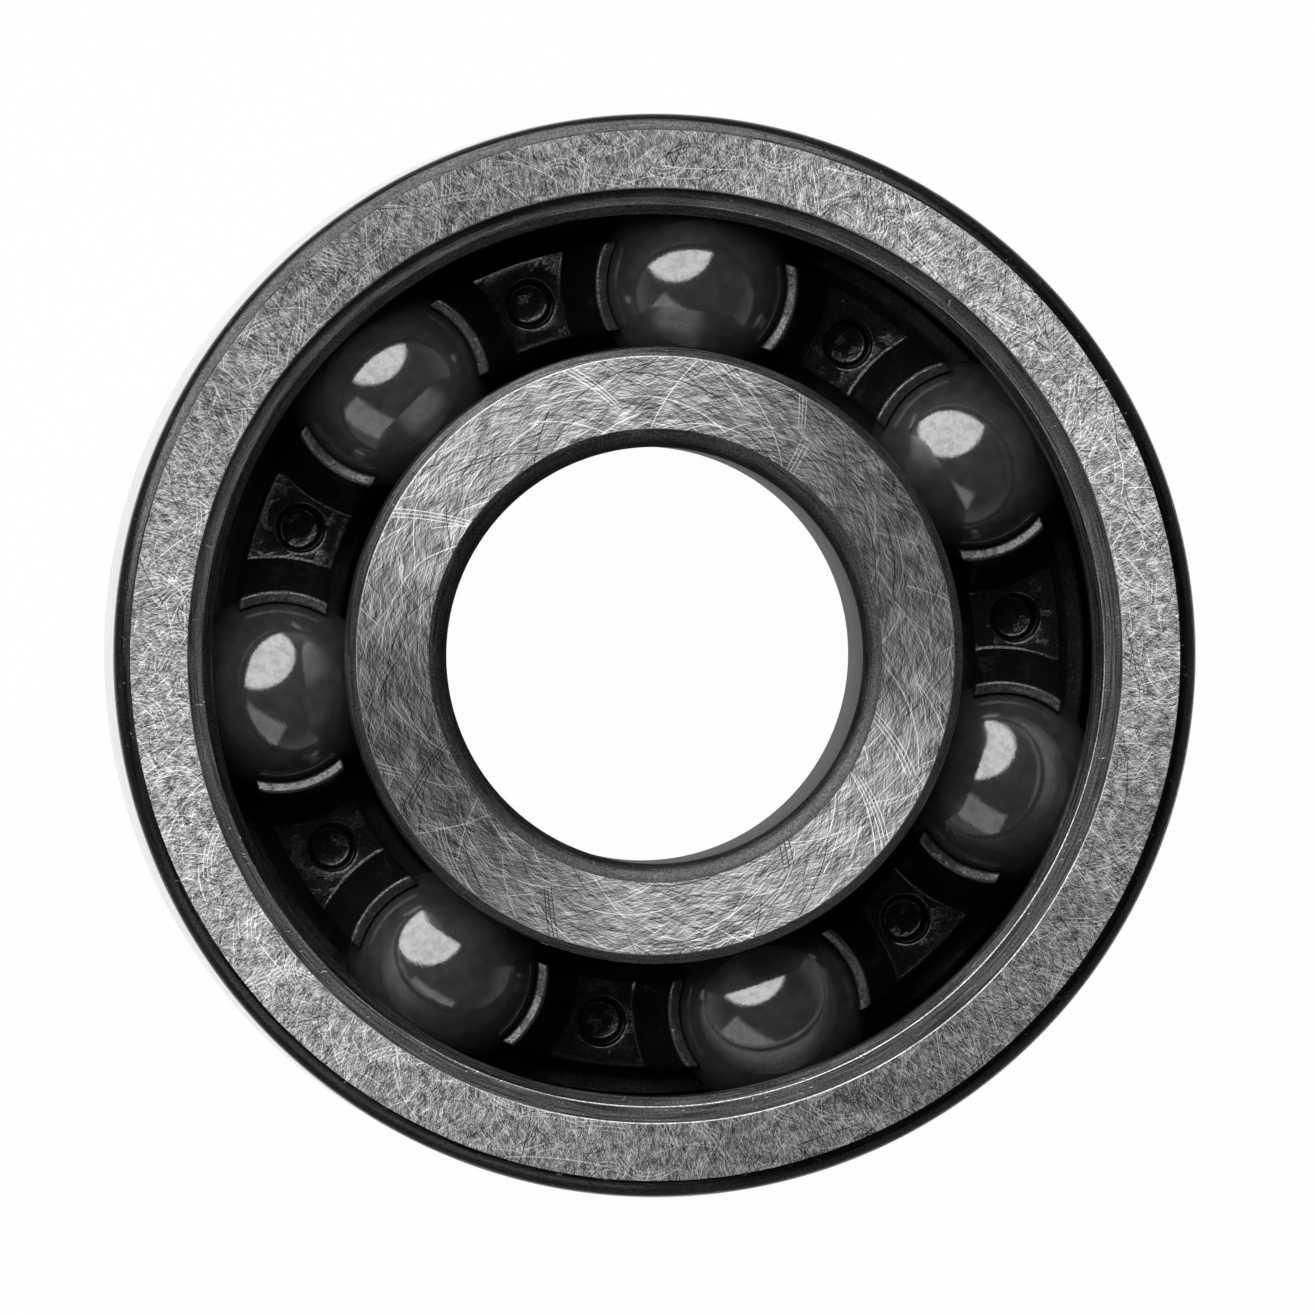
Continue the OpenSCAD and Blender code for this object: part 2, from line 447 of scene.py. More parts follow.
def singleScratches(tree, place, seed, cell, length, width, bend, along, spread, rows):
    # One scratch in each cell of a Voronoi pattern: in the cell's own turned axes (u, v) it is the line
    # v = k u^2, as wide as width, that fades out towards |u| = length / 2. It repeats every rows[0] in v,
    # out to rows[1] on both sides, which draws a family of nested arcs. Returns it and the cell's chance.
    look = scratchLook
    moved = vectorCalc(tree, "ADD", place, (seed * 17.1, seed * 9.7, 0))
    sockets = {"Vector": moved, "Scale": 1 / cell}
    cells = addNode(tree, "ShaderNodeTexVoronoi", sockets, voronoi_dimensions="2D").outputs
    chance = addNode(tree, "ShaderNodeSeparateColor", {0: cells["Color"]}).outputs
    local = vectorCalc(tree, "SUBTRACT", moved, cells["Position"])
    lean = calc(tree, "MULTIPLY", calc(tree, "SUBTRACT", chance[0], 0.5), spread)
    angle = calc(tree, "MULTIPLY", calc(tree, "ADD", lean, along), -1.0)
    sockets = {"Vector": local, "Angle": angle}
    turned = addNode(tree, "ShaderNodeVectorRotate", sockets, rotation_type="Z_AXIS").outputs[0]
    uv = addNode(tree, "ShaderNodeSeparateXYZ", {0: turned}).outputs
    curve = calc(tree, "MULTIPLY", calc(tree, "SUBTRACT", chance[1], 0.5), 2 * bend)
    sag = calc(tree, "MULTIPLY", calc(tree, "MULTIPLY", uv[0], uv[0]), curve)
    off = calc(tree, "ABSOLUTE", calc(tree, "SUBTRACT", uv[1], sag))
    nearest = calc(tree, "PINGPONG", off, rows[0] / 2)
    line = ramped(tree, nearest, look["core"] * width, width, 1.0, 0.0)
    inside = ramped(tree, off, rows[1] + width, rows[1] + look["edge"] * width, 1.0, 0.0)
    reach = calc(tree, "MULTIPLY", calc(tree, "ADD", chance[2], look["shortest"]), length / 2)
    out = calc(tree, "DIVIDE", calc(tree, "ABSOLUTE", uv[0]), reach)
    ends = ramped(tree, out, look["fadeFrom"], 1.0, 1.0, 0.0)
    return calc(tree, "MULTIPLY", calc(tree, "MULTIPLY", line, inside), ends), chance[1]


alone = (9.0, 0.01)  # step and reach of the rows of a scratch that has no others beside it
outerFaceLook = {
    "grain": 0,  # most lines lie at this angle to the radius, in degrees
    "focus": (0.45, 1.0),  # strength of hair lines across the grain, and along it
    "directions": 9,
    "hairs": (0.4, 0.011, 0.56, 0.75),  # length, width, threshold and weight
    "waviness": 0.2,
    # kinds of single scratches: cell, length, width, bend, spread about the grain, weight, layers, rows
    "singles": (
        (0.7, 1.2, 0.012, 0.5, 3.1, 1.0, 3, alone),
        (1.7, 2.6, 0.014, 0.2, 3.1, 1.3, 2, alone),
        (1.6, 1.6, 0.011, 1.2, 3.1, 1.2, 3, (0.1, 0.12)),
    ),
    "tones": (0.014, 0.115, 0.8),  # darkest painted shade, middle, and brightest painted glint
    "roughness": (0.46, 0.54),
    "anisotropic": 0.62,
    "turn": 0.0,
}
innerFaceLook = {
    "grain": 90,
    "focus": (0.1, 1.0),
    "directions": 11,
    "hairs": (1.0, 0.011, 0.56, 0.75),
    "waviness": 0.12,
    "singles": (
        (1.2, 2.0, 0.012, 0.1, 1.6, 1.2, 4, alone),
        (2.4, 4.2, 0.014, 0.03, 2.2, 1.5, 3, alone),
        (3.0, 4.2, 0.014, 0.03, 3.1, 1.5, 1, (0.09, 0.1)),
    ),
    "tones": (0.014, 0.125, 0.8),
    "roughness": (0.46, 0.54),
    "anisotropic": 0.84,
    "turn": 0.25,
}
# Values that both ground faces share.
grindLook = {
    "waveSize": 3.0,  # size of the clouds that bend the hair lines
    "focusStep": (0.5, 1.0),  # cosine of the angle to the grain where hair lines are weakest and strongest
    "softness": 0.12,  # from a hair line's threshold to its full strength
    "skew": 7,  # angle of the first hair lines painted as glints, and from each of them to its line painted as shade
    "darkSeed": 30,  # how far the seeds of the lines painted as shade are from those of the lines painted as glints
    "scratchSeed": 3,
    "glintStep": (0.42, 0.44),  # scratches with a chance below this are painted as shade, and those above as glints
    "patchCloud": (1.1, 4.0, 0.6),
    "patchTone": 0.1,
    "toneReach": 1.2,  # sum of the lines that gives the brightest painted glint, and minus that the darkest painted shade
    "lineDepth": 0.05,
    "lineHeight": 0.000004,
}


def groundFace(name, look, shared):
    # Ground flat face: the tone is the sum of lines painted as glints minus the sum of lines painted as shade,
    # plus patches. The hair lines run in every direction, strongest along the grain, and single scratches lie over
    # them; the lines are real marks, and their bright and dark tones are painted glints and painted shade.
    dark, middle, bright = [(tone,) * 3 + (1,) for tone in look["tones"]]
    material, tree, shader = newMaterial(name, middle[:3], look["roughness"][0], 1.0)
    place = millimetres(tree, flat=True)
    parts = addNode(tree, "ShaderNodeSeparateXYZ", {0: place}).outputs
    around = calc(tree, "ARCTAN2", parts[1], parts[0])
    wave = vectorCalc(tree, "SUBTRACT", clouds(tree, place, shared["waveSize"], 1.0)[1], (0.5, 0.5, 0.5))
    bent = vectorCalc(tree, "ADD", place, vectorCalc(tree, "MULTIPLY", wave, (look["waviness"],) * 3))
    grain = math.radians(look["grain"])
    across, along = look["focus"]
    length, width, low, weight = look["hairs"]
    step = (low, low + shared["softness"])
    glintScratches, shadeScratches = [], []
    for k in range(look["directions"]):
        degrees = 180 / look["directions"] * k + shared["skew"]
        toward = calc(tree, "SUBTRACT", around, math.radians(degrees) - grain)
        near = calc(tree, "ABSOLUTE", calc(tree, "COSINE", toward))
        share = calc(tree, "MULTIPLY", ramped(tree, near, *shared["focusStep"], across, along), weight)
        darkDegrees, darkSeed = degrees + shared["skew"], k + 1 + shared["darkSeed"]
        glintScratches.append((hairLines(tree, bent, degrees, length, width, k + 1, step), share))
        shadeScratches.append((hairLines(tree, bent, darkDegrees, length, width, darkSeed, step), share))
    seed = shared["scratchSeed"]
    grainTurn = calc(tree, "ADD", around, grain)
    for cell, length, width, bend, spread, weight, layers, rows in look["singles"]:
        for layer in range(layers):
            sizes = (seed + layer, cell, length, width, bend, grainTurn, spread, rows)
            scratch, chance = singleScratches(tree, place, *sizes)
            glintWeight = ramped(tree, chance, *shared["glintStep"], 0.0, weight)
            glintScratches.append((scratch, glintWeight))
            shadeScratches.append((scratch, calc(tree, "SUBTRACT", weight, glintWeight)))
        seed += layers
    glintScratches, shadeScratches = weightedSum(tree, glintScratches), weightedSum(tree, shadeScratches)
    patches = clouds(tree, place, *shared["patchCloud"])[0]
    patchTone = ramped(tree, patches, *evenStep, -shared["patchTone"], shared["patchTone"])
    # painted glints lighten the steel's tone and painted shade darkens it
    tone = calc(tree, "ADD", calc(tree, "SUBTRACT", glintScratches, shadeScratches), patchTone)
    reach = shared["toneReach"]
    ramp = addNode(tree, "ShaderNodeValToRGB", {0: ramped(tree, tone, -reach, reach, smooth=False)})
    ramp.color_ramp.elements[0].color = dark
    ramp.color_ramp.elements[1].color = bright
    ramp.color_ramp.elements.new(0.5).color = middle
    tree.links.new(ramp.outputs[0], shader.inputs["Base Color"])
    tree.links.new(ramped(tree, patches, *evenStep, *look["roughness"]), shader.inputs["Roughness"])
    height = calc(tree, "MULTIPLY", calc(tree, "ADD", glintScratches, shadeScratches), -1.0)
    bumpWith(tree, shader, height, shared["lineDepth"], shared["lineHeight"])
    shader.inputs["Anisotropic"].default_value = look["anisotropic"]
    shader.inputs["Anisotropic Rotation"].default_value = look["turn"]
    tangent = addNode(tree, "ShaderNodeTangent", direction_type="RADIAL", axis="Z")
    tree.links.new(tangent.outputs[0], shader.inputs["Tangent"])
    return material


turnLook = {
    "arc": 0.25,  # how far the ring pattern moves on in one radian
    "ringCloud": (0.05, 2.0, 0.6),
    "ringStep": (0.3, 0.7, 0.75, 1.1),
    "nickCloud": (0.16, 2.0),
    "nickStep": (0.66, 0.74),
    "nickTone": 0.3,
    "stainCloud": (0.9, 3.0),
    "stainStep": (0.3, 0.7, -0.12, 0.08),
    "speckCloud": (0.05, 2.0, 0.7),
    "speckStep": (0.35, 0.65, 0.55, 1.25),
    "roughness": (0.8, 1.25),  # between and on the rings, as shares of the finish's own
    "lineHeight": 0.00001,
}


def turnedSteel(name, colour, roughness, lineDepth, look=turnLook):
    # Turned or ground round the axis: the tone is (rings + stains + nicks) * specks. The rings are noise in
    # the coordinates (r, arc * angle, z), so they run round the axis.
    material, tree, shader = newMaterial(name, colour, roughness, 1.0)
    place = millimetres(tree)
    parts = addNode(tree, "ShaderNodeSeparateXYZ", {0: place}).outputs
    radius = vectorCalc(tree, "LENGTH", vectorCalc(tree, "MULTIPLY", place, (1, 1, 0)))
    arc = calc(tree, "MULTIPLY", calc(tree, "ARCTAN2", parts[1], parts[0]), look["arc"])
    rolled = addNode(tree, "ShaderNodeCombineXYZ", {0: radius, 1: arc, 2: parts[2]}).outputs[0]
    rings = clouds(tree, rolled, *look["ringCloud"])[0]
    nicks = ramped(tree, clouds(tree, place, *look["nickCloud"])[0], *look["nickStep"])
    stains = ramped(tree, clouds(tree, place, *look["stainCloud"])[0], *look["stainStep"])
    specks = ramped(tree, clouds(tree, place, *look["speckCloud"])[0], *look["speckStep"])
    tone = calc(tree, "ADD", ramped(tree, rings, *look["ringStep"]), stains)
    tone = calc(tree, "ADD", tone, calc(tree, "MULTIPLY", nicks, look["nickTone"]))
    paintWith(tree, shader, colour, calc(tree, "MULTIPLY", tone, specks))
    roughRange = [roughness * share for share in look["roughness"]]
    tree.links.new(ramped(tree, rings, *evenStep, *roughRange), shader.inputs["Roughness"])
    bumpWith(tree, shader, calc(tree, "SUBTRACT", rings, nicks), lineDepth, look["lineHeight"])
    return material


# Material's name, colour, roughness and line depth of the steel finishes. corner and bore are the turned steel
# darkened: painted shade.
steelLooks = {
    "turned": ("turnedSteel", (0.16, 0.16, 0.162), 0.32, 0.5),
    # painted shade: the turned steel darkened on the outer corner and the inner ring's raceway edges
    "corner": ("shadedTurnedCorner", (0.048, 0.048, 0.049), 0.22, 0.8),
    # painted shade: the turned steel darkened on the bore's corners
    "bore": ("shadedBoreCorner", (0.065, 0.065, 0.066), 0.45, 0.8),
    "edge": ("brokenEdge", (0.34, 0.34, 0.34), 0.3, 0.9),
    "outer": ("groundOutside", (0.38, 0.38, 0.384), 0.26, 0.35),
    "track": ("polishedTrack", (0.2, 0.2, 0.202), 0.16, 0.15),
}
outerFace = groundFace("groundFaceOuter", outerFaceLook, grindLook)
innerFace = groundFace("groundFaceInner", innerFaceLook, grindLook)
steels = {key: turnedSteel(*values) for key, values in steelLooks.items()}
print("steel finishes made")


def ringFinishes(face, last):
    # the finishes of one ring, in the order of its materials
    return {"face": face} | {key: steels[key] for key in ("turned", "edge", "track", "corner", last)}



outerRingLook = {
    "landR": 10.6,
    "mouthR": 11.2,  # mouth of each seal groove
    "rootR": 11.45,
    "lipDepth": 0.45,
    "lipSlope": 0.12,  # height of the slope behind the groove's lip
    "ledgeDepth": 1.05,
    "ledgeChamfer": 0.24,
    "corner": 0.4,
    "edge": 0.035,  # rounding of the sharp edges
    "lipRound": 0.05,  # roundings inside the groove, at its lip and at its ledge
    "ledgeRound": 0.08,
}


def makeOuterRing(look):
    # Section from the outer corner in to the raceway, whose edge is where cos t = (landR - centre) / R.
    mouthR, rootR, landR, edge = look["mouthR"], look["rootR"], look["landR"], look["edge"]
    ledgeZ = halfWidth - look["ledgeDepth"]
    lipZ = halfWidth - look["lipDepth"]
    centreR = pitchR + ballR + trackLook["play"] - trackR
    edgeTurn = math.acos((landR - centreR) / trackR)
    front = [
        (outerR, halfWidth, look["corner"], "corner", "face"),
        (mouthR, halfWidth, edge, "edge", "turned"),
        (mouthR, lipZ + look["lipSlope"], edge, "edge", "turned"),
        (rootR, lipZ, look["lipRound"], "turned", "turned"),
        (rootR, ledgeZ, look["ledgeRound"], "turned", "turned"),
        (landR + look["ledgeChamfer"], ledgeZ, edge, "edge", "turned"),
        (landR, ledgeZ - look["ledgeChamfer"], edge, "edge", "turned"),
        (landR, trackR * math.sin(edgeTurn), edge, "turned", "track"),
    ]
    corners = front + trackArc(centreR, edgeTurn, -edgeTurn) + mirrored(front, "outer")
    finishes = ringFinishes(outerFace, "outer")
    ring = turnPiece("outerRing", [sectionLoop(corners)], finishes)
    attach(ring, "outer")
    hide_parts("outer_ring")


makeOuterRing(outerRingLook)

innerRingLook = {"boreCorner": 0.45, "chamfer": 0.22, "edge": 0.035}


def makeInnerRing(look):
    # Section from the raceway's edge, where cos t = (shoulderR - centre) / R, out and round to the bore.
    centreR = pitchR - ballR - trackLook["play"] + trackR
    edgeTurn = math.acos((shoulderR - centreR) / trackR)
    chamfer, edge = look["chamfer"], look["edge"]
    front = [
        (shoulderR, trackR * math.sin(edgeTurn), edge, "corner", "turned"),
        (shoulderR, halfWidth - chamfer, edge, "edge", "turned"),
        (shoulderR - chamfer, halfWidth, edge, "edge", "face"),
        (boreR, halfWidth, look["boreCorner"], "bore", "turned"),
    ]
    corners = front + mirrored(front, "track") + trackArc(centreR, -edgeTurn + 2 * math.pi, edgeTurn)
    finishes = ringFinishes(innerFace, "bore")
    ring = turnPiece("innerRing", [sectionLoop(corners)], finishes)
    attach(ring, "inner")
    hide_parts("inner_ring")


makeInnerRing(innerRingLook)
print("rings made")

ballLook = {
    "colour": (0.026, 0.026, 0.028),
    "roughness": (0.06, 2.2),  # the least, and how many times that at most
    "gloss": 2.02,  # index of refraction
    "grid": 32,
    "mottleCloud": (0.35, 4.0, 0.6),
    "mottleStep": (0.3, 0.7, 0.8, 1.25),
    "sheenCloud": (0.2, 5.0, 0.65),
    "sheenStep": (0.35, 0.6, 0.36, 0.48),
    "polish": (35, (0.03, 0.9, 0.9)),  # angle and stretch of the polishing lines
    "polishCloud": (1.0, 2.0),
    "polishStep": (0.35, 0.75),
    "peelCloud": (0.05, 2.0),
    "peelDepth": 0.12,
    "peelHeight": 0.00001,
}


def ceramicFinish(look):
    # Polished ceramic: nearly black, with a faint mottle and very faint polishing lines.
    low, times = look["roughness"]
    material, tree, shader = newMaterial("polishedCeramic", look["colour"], low, 0.0)
    shader.inputs["IOR"].default_value = look["gloss"]
    place = millimetres(tree)
    mottle = clouds(tree, place, *look["mottleCloud"])[0]
    polish = clouds(tree, spun(tree, place, *look["polish"]), *look["polishCloud"])[0]
    sheen = clouds(tree, place, *look["sheenCloud"])[0]
    paintWith(tree, shader, look["colour"], ramped(tree, mottle, *look["mottleStep"]))
    tree.links.new(ramped(tree, sheen, *look["sheenStep"]), shader.inputs["Specular IOR Level"])
    tree.links.new(ramped(tree, polish, *look["polishStep"], low, low * times), shader.inputs["Roughness"])
    peel = calc(tree, "ADD", polish, clouds(tree, place, *look["peelCloud"])[0])
    bumpWith(tree, shader, peel, look["peelDepth"], look["peelHeight"])
    return material


def sphereGrid(count):
    # Six square patches: (tan(u pi / 4), tan(v pi / 4), 1) for u, v from -1 to 1, pushed out to radius 1.
    u, v = np.meshgrid(*[np.tan(np.linspace(-1, 1, count + 1) * math.pi / 4)] * 2, indexing="ij")
    patch = np.stack([u, v, np.ones_like(u)], axis=-1)
    patch /= np.linalg.norm(patch, axis=-1, keepdims=True)
    turns = [(0, 1, 2, 1), (1, 2, 0, 1), (2, 0, 1, 1), (1, 0, 2, -1), (2, 1, 0, -1), (0, 2, 1, -1)]
    points = np.concatenate([(patch[..., [x, y, z]] * sign).reshape(-1, 3) for x, y, z, sign in turns])
    quad = gridFaces(count + 1, count + 1)
    faces = np.concatenate([quad + k * (count + 1) ** 2 for k in range(6)])
    return points, faces


def closeSeams(piece, gap=0.0004):
    # joins the patches' edges, and turns the faces outwards
    work = bmesh.new()
    work.from_mesh(piece.data)
    bmesh.ops.remove_doubles(work, verts=work.verts, dist=gap * mm)
    bmesh.ops.delete(work, geom=[v for v in work.verts if not v.link_faces], context="VERTS")
    bmesh.ops.recalc_face_normals(work, faces=work.faces)
    work.to_mesh(piece.data)
    work.free()


def makeBalls(look):
    finish = ceramicFinish(look)
    unit, faces = sphereGrid(look["grid"])
    for name, centre in ballCentres.items():
        ball = makePiece(name.replace("ball_", "ceramicBall"), unit * ballR + centre, faces, [finish])
        closeSeams(ball)
        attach(ball, name)
        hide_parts(name)


makeBalls(ballLook)
print("balls made")

mouldLook = {
    "grainCloud": (0.045, 3.0, 0.7),
    "grainStep": (0.3, 0.7, 0.5, 1.5),
    "sheenStep": (0.4, 0.6),  # where on the grain its sheen changes
    "dustCloud": (0.07, 2.0),
    "dustStep": (0.62, 0.72),
    "dustTone": 2.0,
    "flowCloud": (0.6, 3.0),
    "roughness": (0.8, 1.3),  # least and most, as shares of the finish's own
    "patchCloud": (0.45, 2.0),
    "patchStep": (0.5, 0.62, 0.12, 1.0),  # depth of the grain outside and inside its patches
    "grainHeight": 0.00002,
}


def mouldedPlastic(name, colour, roughness, grain, sheen, look=mouldLook):
    # Black moulded plastic: the tone is a fine grain plus dust. The grain varies its sheen too, and it is
    # deeper in patches; larger flow clouds vary its roughness.
    material, tree, shader = newMaterial(name, colour, roughness, 0.0)
    place = millimetres(tree)
    fine = clouds(tree, place, *look["grainCloud"])[0]
    flow = clouds(tree, place, *look["flowCloud"])[0]
    dust = ramped(tree, clouds(tree, place, *look["dustCloud"])[0], *look["dustStep"])
    dust = calc(tree, "MULTIPLY", dust, look["dustTone"])
    paintWith(tree, shader, colour, calc(tree, "ADD", ramped(tree, fine, *look["grainStep"]), dust))
    roughRange = [roughness * share for share in look["roughness"]]
    tree.links.new(ramped(tree, flow, *evenStep, *roughRange), shader.inputs["Roughness"])
    tree.links.new(ramped(tree, fine, *look["sheenStep"], *sheen), shader.inputs["Specular IOR Level"])
    patch = ramped(tree, clouds(tree, place, *look["patchCloud"])[0], *look["patchStep"])
    bumpWith(tree, shader, calc(tree, "MULTIPLY", fine, patch), grain, look["grainHeight"])
    return material


cageLook = {
    "innerR": 7.84,
    "outerR": 9.97,
    "pocketPlay": 0.07,
    "tipZ": 1.3,  # heights are above the ball plane
    "valleyZ": -0.3,
    "backZ": -2.95,
    "tipWidth": 0.34,
    "tipSlope": 0.1,  # how much lower the pocket's side of a tip is
    "flare": 0.78,
    "tipRound": 0.08,
    "pocketStop": 0.22,  # how far before the tip the pocket's own points end
    "footRound": 0.16,
    "rim": 0.06,  # rounding where the walls start
    "backRound": 0.14,
    "holeR": 0.55,
    "holeRim": 0.1,
    "holeDepth": 1.2,
    "holeRound": 0.15,  # rounding at the hole's bottom
    "holeRings": (0.2, 0),  # rings of points on the hole's bottom
    "plastic": ((0.004, 0.004, 0.0043), 0.13, 0.4, (0.1, 0.5)),  # colour, roughness, grain and sheen
    # the horn tips: lighter and glossier plastic than the rest of the cage
    "tipPlastic": ((0.02, 0.02, 0.0205), 0.26, 0.9, (0.25, 0.9)),
    "normalWeight": 90,
    # Points and steps of the mesh.
    "pocketPoints": 30,
    "roundSteps": 5,
    "flankShares": (0.33, 0.67),
    "valleySteps": 7,
    "middleRows": 11,
    "rimSteps": 4,
    "holeSteps": 48,
    "backSteps": 24,
    "backRows": 3,
    "wallSteps": 3,
    "wallGrid": (24, 11),  # columns and rows of points inside a wall
    "wallMargins": (0.4, 0.3),  # from the back and from the tips to those rows
}
quarter = np.linspace(0, math.pi / 2, cageLook["rimSteps"] + 1)  # angles of all its quarter rounds


def angleAt(r, d):
    # angle from a ball's centre line to the point at radius r and distance d from the ball's own axis
    return np.arccos(np.clip((r * r + pitchR * pitchR - d * d) / (2 * r * pitchR), -1, 1))


def filled(loops, extra=()):
    # triangles between closed loops of (x, y) points, with extra points inside, as points and faces
    points, edges = [], []
    for loop in loops:
        start = len(points)
        points += [tuple(p) for p in loop]
        edges += [(start + i, start + (i + 1) % len(loop)) for i in range(len(loop))]
    points += [tuple(p) for p in extra]
    made = delaunay_2d_cdt(points, edges, [], 1, 1e-7)
    return np.array([tuple(p) for p in made[0]]), np.array(made[2])


def cageRows(look):
    # Radii of the cage's rows of points, and how far each row is moved into the plastic: at both walls
    # r = rim (1 - cos t) away from the wall and rim (1 - sin t) into it.
    rim, innerR, cageR = look["rim"], look["innerR"], look["outerR"]
    rounding, inset = rim * (1 - np.cos(quarter)), rim * (1 - np.sin(quarter))
    middle = np.linspace(innerR + rim, cageR - rim, look["middleRows"] + 2)[1:-1]
    r = np.concatenate([innerR + rounding, middle, cageR - rounding[::-1]])
    return r, np.concatenate([inset, np.zeros(len(middle)), inset[::-1]])


def hornSection(look, r, inset):
    # Half of the web between two pockets, at each radius r, as (angle, z): the pocket's arc d = P sin b,
    # z = -P cos b, the rounded tip, the cone's straight flank, the foot's fillet and the flat valley.
    # inset moves every surface that far into the plastic, which rounds the rims.
    r, inset = r[:, None], inset[:, None]
    pocketR = ballR + look["pocketPlay"]
    tipIn = math.sqrt(pocketR**2 - look["tipZ"] ** 2)
    tipOut = tipIn + look["tipWidth"]
    lean = look["flare"] / (look["valleyZ"] - look["tipZ"])
    sphereR, tipZ, valleyZ = pocketR + inset, look["tipZ"] - inset, look["valleyZ"] - inset
    shift = tipOut - inset * math.sqrt(1 + lean * lean)
    tipInZ = tipZ - look["tipSlope"]
    tipInD = np.sqrt(sphereR**2 - tipInZ**2)
    fromTurn = np.arcsin(np.clip(np.abs(r - pitchR) / sphereR, 0, 1))
    toTurn = math.pi - np.arcsin(tipInD / sphereR) - look["pocketStop"] / sphereR
    turn = fromTurn + (toTurn - fromTurn) * np.linspace(0, 1, look["pocketPoints"])
    pocket = np.stack([sphereR * np.sin(turn), -sphereR * np.cos(turn)], axis=-1)
    tipInner = np.stack([tipInD, tipInZ], axis=-1)
    tipOuter = np.stack([shift + lean * (tipZ - look["tipZ"]), tipZ], axis=-1)
    foot = np.stack([shift + lean * (valleyZ - look["tipZ"]), valleyZ], axis=-1)
    corners = np.concatenate([pocket[:, -1:], tipInner, tipOuter, foot, foot + [1.0, 0.0]], axis=1)
    tipRadius, footRadius = look["tipRound"] - inset, look["footRound"] + inset
    radii = np.concatenate([inset * 0, tipRadius, tipRadius, footRadius, inset * 0], axis=1)
    arcs = roundCorners(corners, radii, look["roundSteps"])[:, 1:4]
    flankStart, flankEnd = arcs[:, 1, -1:], arcs[:, 2, :1]
    flank = flankStart + (flankEnd - flankStart) * np.array(look["flankShares"])[:, None]
    line = np.concatenate([pocket, arcs[:, 0], arcs[:, 1], flank, arcs[:, 2]], axis=1)
    angle = angleAt(r, line[..., 0])
    shares = np.linspace(0, 1, look["valleySteps"] + 1)[1:]
    valley = angle[:, -1:] + (halfStep - angle[:, -1:]) * shares
    angle = np.concatenate([angle, valley], axis=1)
    height = np.concatenate([line[..., 1], np.repeat(valleyZ, look["valleySteps"], axis=1)], axis=1)
    tips = np.zeros(angle.shape[1] - 1, bool)
    tipStart = look["pocketPoints"] - 1
    tips[tipStart : tipStart + 2 * (look["roundSteps"] + 1)] = True  # both rounds and the flat between them
    return angle, height, tips


def cagePart(angles, radii, heights, faces, finish=0):
    # one part of the cage: rows of (angle from a ball, r, z), its faces, and each face's finish number
    grids = np.broadcast_arrays(angles, radii, heights)
    return np.stack([grid.ravel() for grid in grids], axis=-1), faces, np.broadcast_to(finish, len(faces))


def cageWeb(look, r, angle, height, tips):
    # Pocket, horns and the valley's edges, on both sides of a ball. The valley's middle is left out.
    rows, columns = angle.shape
    rim = look["rimSteps"]
    skip = np.zeros((rows - 1, columns - 1), bool)
    skip[rim:-rim, columns - look["valleySteps"] - 1 :] = True
    faces = gridFaces(rows, columns, skip)
    finish = np.tile(tips, (rows - 1, 1))[~skip].astype(int)
    return [cagePart(sign * angle, r[:, None], height, faces, finish) for sign in (1, -1)]


def cageValley(look, r, angle):
    # The valley's middle, flat round its hole, in the plane with x out from the axis through the hole's
    # centre. Its border is first (angle, r): left side, outer edge and back on the other half.
    rim, steps = look["rimSteps"], look["valleySteps"]
    turned = angle[:, -steps - 1 :] - halfStep
    left = np.stack([turned[rim:-rim, 0], r[rim:-rim]], axis=-1)
    top = np.stack([turned[-rim - 1], np.full(steps + 1, r[-rim - 1])], axis=-1)[1:]
    bottom = np.stack([turned[rim], np.full(steps + 1, r[rim])], axis=-1)[1:]
    flip = np.array([-1, 1])
    border = [left, top, (top[:-1] * flip)[::-1], (left * flip)[::-1], bottom[:-1] * flip, bottom[::-1]]
    border = np.concatenate(border)
    border = np.stack([border[:, 1] * np.cos(border[:, 0]), border[:, 1] * np.sin(border[:, 0])], axis=-1)
    holeX, rimR = (look["innerR"] + look["outerR"]) / 2, look["holeR"] + look["holeRim"]
    turn = np.arange(look["holeSteps"]) * 2 * math.pi / look["holeSteps"]
    circle = np.stack([np.cos(turn), np.sin(turn)], axis=-1)
    flat, triangles = filled([border, circle * rimR + [holeX, 0]])
    middle = flat[triangles].mean(axis=1)
    chordR = rimR * math.cos(math.pi / look["holeSteps"])  # the hole is nowhere narrower than this
    triangles = triangles[np.hypot(middle[:, 0] - holeX, middle[:, 1]) > chordR]
    around, far = np.arctan2(flat[:, 1], flat[:, 0]) + halfStep, np.hypot(flat[:, 0], flat[:, 1])
    return cagePart(around, far, look["valleyZ"], triangles)


def cageHole(look):
    # The blind hole, turned round its own centre: a quarter round rim, a straight wall, a rounded bottom.
    holeR, holeRim, holeRound, depth = look["holeR"], look["holeRim"], look["holeRound"], look["holeDepth"]
    rings = look["holeRings"]
    rimR, roundR = holeR + holeRim * (1 - np.sin(quarter)), holeR - holeRound * (1 - np.cos(quarter))
    rimZ, roundZ = -holeRim * (1 - np.cos(quarter)), holeRound * (1 - np.sin(quarter)) - depth
    wallR = np.concatenate([rimR, roundR, rings])
    wallZ = np.concatenate([rimZ, roundZ, [-depth] * len(rings)]) + look["valleyZ"]
    turn = np.arange(look["holeSteps"]) * 2 * math.pi / look["holeSteps"]
    spin = np.append(turn, 0)
    x = np.outer(wallR, np.cos(spin)) + (look["innerR"] + look["outerR"]) / 2
    y = np.outer(wallR, np.sin(spin))
    faces = gridFaces(len(wallR), len(spin))
    return cagePart(np.arctan2(y, x) + halfStep, np.hypot(x, y), wallZ[:, None], faces)


